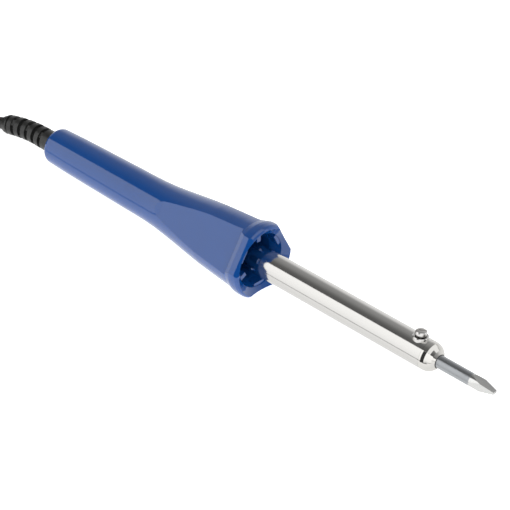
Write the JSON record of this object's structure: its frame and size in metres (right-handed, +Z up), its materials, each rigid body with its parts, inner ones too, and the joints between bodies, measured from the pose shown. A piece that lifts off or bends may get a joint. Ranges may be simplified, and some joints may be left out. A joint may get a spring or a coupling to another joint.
{
  "type": "soldering iron",
  "caption": "Mains soldering iron with a bell-mouthed handle, stainless barrel, screw-clamped chisel tip, and a cord tied in a hank.",
  "frame": {"origin": "on the table, below the middle of the iron, counting its strain relief and tip and leaving out the cord", "axes": "+X level towards the tip, +Z up; the iron rests on its collar's lower flat and its handle's rear edge, so its axis rises 2.7 degrees towards the tip"},
  "size_m": [0.4258, 0.0498, 0.0429],
  "materials": {
    "handle_plastic": "glossy blue thermoset or nylon",
    "relief_rubber": "satin black",
    "cord_rubber": "satin black sheath",
    "stainless": "fine polished stainless tube",
    "nose_chrome": "bright plated",
    "screw_steel": "bright plated",
    "dark_steel": "plain steel",
    "tip_plating": "satin plating, tinned bright at the chisel",
    "mica": "rolled mica sheet",
    "resistance_wire": "oxidised resistance wire",
    "nickel_wire": "plain nickel wire",
    "glass_cloth": "woven glass",
    "steatite": "unglazed",
    "phenolic": "black moulding",
    "block_plastic": "cream moulding",
    "terminal_brass": "plain brass",
    "live_insulation": "brown insulation",
    "neutral_insulation": "blue insulation",
    "earth_insulation": "green and yellow insulation",
    "tie_fabric": "woven strap",
    "plug_rubber": "moulded black",
    "plug_nickel": "nickel plated"
  },
  "bodies": {
    "iron": {"handle": "handle_plastic", "strain_relief": "relief_rubber", "barrel": "stainless", "nose_cap": "nose_chrome", "clamp_bush": "screw_steel", "heater_core_tube": "dark_steel", "mica_sleeve_inner": "mica", "heating_coil": "resistance_wire", "mica_sleeve_outer": "mica", "glass_wrap": "glass_cloth", "ceramic_bush": "steatite", "barrel_flange": "stainless", "insulating_disc": "phenolic", "flange_screws": "dark_steel", "heater_leads": "nickel_wire", "lead_sleeves": "glass_cloth", "earth_lead": "earth_insulation", "terminal_block": "block_plastic", "terminal_inserts": "terminal_brass", "terminal_screws": "screw_steel", "cord_clamp_bar": "block_plastic", "cord_clamp_screws": "screw_steel", "cord_inside": "cord_rubber", "core_live": "live_insulation", "core_neutral": "neutral_insulation", "core_earth": "earth_insulation", "mains_cord": "cord_rubber", "cord_hank": "cord_rubber", "cord_plug_end": "cord_rubber", "cord_tie": "tie_fabric", "plug_body": "plug_rubber", "plug_pins": "plug_nickel", "plug_earth_clips": "plug_nickel"},
    "tip": {"soldering_tip": "tip_plating"},
    "washer": {"lock_washer": "dark_steel"},
    "screw": {"clamp_screw": "screw_steel"}
  },
  "joints": [
    {"name": "tip_slide", "type": "slide", "parent": "iron", "child": "tip", "axis": [0.9989, 0, 0.0475], "range_m": [0, 0.048]},
    {"name": "clamp_screw_travel", "type": "slide", "parent": "iron", "child": "washer", "axis": [-0.0475, 0, 0.9989], "range_m": [0, 0.001]},
    {"name": "clamp_screw_turn", "type": "hinge", "parent": "washer", "child": "screw", "pos_m": [0.10149, 0, 0.01778], "axis": [-0.0475, 0, 0.9989], "range_deg": [0, 720]}
  ],
  "couplings": [
    {"joint": "clamp_screw_turn", "follows": "clamp_screw_travel", "rad_per_m": 12566}
  ]
}
